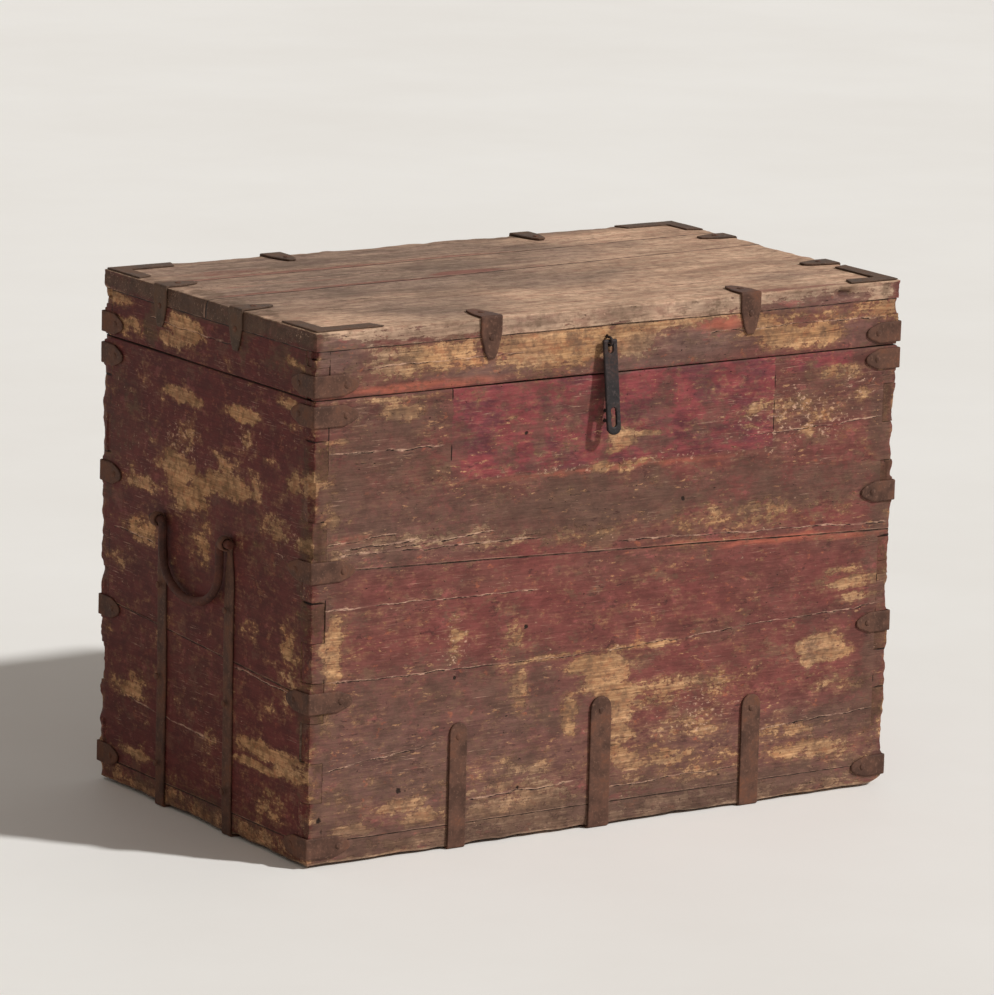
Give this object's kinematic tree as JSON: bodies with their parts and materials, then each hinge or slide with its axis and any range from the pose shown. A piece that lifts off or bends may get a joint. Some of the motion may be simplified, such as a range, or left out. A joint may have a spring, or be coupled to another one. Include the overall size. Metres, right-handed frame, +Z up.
{
  "type": "painted chest",
  "caption": "Finger-jointed timber storage chest with a hinged lid, iron corner bands, edge clips, front straps, a swinging hasp and a bail handle on each end.",
  "frame": {"origin": "on the floor, under the middle of the chest's bounding box", "axes": "+X along the front from its left end to its right end, +Y from the front to the back, +Z up"},
  "size_m": [0.8944, 0.5324, 0.6513],
  "materials": {
    "painted_wood": "worn dull red-brown paint over softwood, rubbed through to bare wood at edges and patches",
    "bare_wood": "weathered grey-tan board with traces of red paint",
    "brown_iron": "brown rusted hand-forged iron",
    "dark_iron": "dark blue-grey hand-forged iron, worn smooth"
  },
  "bodies": {
    "box": {"front_board_lower": "painted_wood", "front_board_upper": "painted_wood", "back_board_lower": "painted_wood", "back_board_upper": "painted_wood", "left_board_lower": "painted_wood", "left_board_upper": "painted_wood", "right_board_lower": "painted_wood", "right_board_upper": "painted_wood", "bottom_panel": "painted_wood", "corner_band_front_left_1": "brown_iron", "corner_band_front_left_2": "brown_iron", "corner_band_front_left_3": "brown_iron", "corner_band_front_left_4": "brown_iron", "corner_band_front_right_1": "brown_iron", "corner_band_front_right_2": "brown_iron", "corner_band_front_right_3": "brown_iron", "corner_band_front_right_4": "brown_iron", "corner_band_back_right_1": "brown_iron", "corner_band_back_right_2": "brown_iron", "corner_band_back_right_3": "brown_iron", "corner_band_back_right_4": "brown_iron", "corner_band_back_left_1": "brown_iron", "corner_band_back_left_2": "brown_iron", "corner_band_back_left_3": "brown_iron", "corner_band_back_left_4": "brown_iron", "front_strap_left": "brown_iron", "front_strap_middle": "brown_iron", "front_strap_right": "brown_iron", "carrying_strap_front": "brown_iron", "carrying_strap_rear": "brown_iron", "hinge_left_lower_leaf": "brown_iron", "hinge_right_lower_leaf": "brown_iron", "lock_staple": "dark_iron"},
    "lid": {"lid_rail_front": "painted_wood", "lid_rail_back": "painted_wood", "lid_rail_left": "painted_wood", "lid_rail_right": "painted_wood", "lid_board_front": "bare_wood", "lid_board_middle": "bare_wood", "lid_board_rear": "bare_wood", "lid_band_front_left": "brown_iron", "lid_band_front_right": "brown_iron", "lid_band_back_right": "brown_iron", "lid_band_back_left": "brown_iron", "lid_plate_front_left": "brown_iron", "lid_plate_front_right": "brown_iron", "lid_plate_back_right": "brown_iron", "lid_plate_back_left": "brown_iron", "lid_clip_front_1": "brown_iron", "lid_clip_front_2": "brown_iron", "lid_clip_left_1": "brown_iron", "lid_clip_left_2": "brown_iron", "lid_clip_right_1": "brown_iron", "lid_clip_right_2": "brown_iron", "hinge_left_upper_leaf": "brown_iron", "hinge_right_upper_leaf": "brown_iron", "hasp_staple": "dark_iron"},
    "hasp": {"hasp": "dark_iron"},
    "left_bail": {"left_bail": "brown_iron"},
    "right_bail": {"right_bail": "brown_iron"}
  },
  "joints": [
    {"name": "lid_hinge", "type": "hinge", "parent": "box", "child": "lid", "pos_m": [0, 0.25879, 0.567], "axis": [-1, 0, 0], "range_deg": [0, 100]},
    {"name": "hasp_swing", "type": "hinge", "parent": "lid", "child": "hasp", "pos_m": [-0.015, -0.24941, 0.607], "axis": [-1, 0, 0], "range_deg": [-9, 150]},
    {"name": "left_bail_swing", "type": "hinge", "parent": "box", "child": "left_bail", "pos_m": [-0.438, 0.01859, 0.363], "axis": [0, 1, 0], "range_deg": [0, 170]},
    {"name": "right_bail_swing", "type": "hinge", "parent": "box", "child": "right_bail", "pos_m": [0.438, 0.01859, 0.363], "axis": [0, -1, 0], "range_deg": [0, 170]}
  ]
}
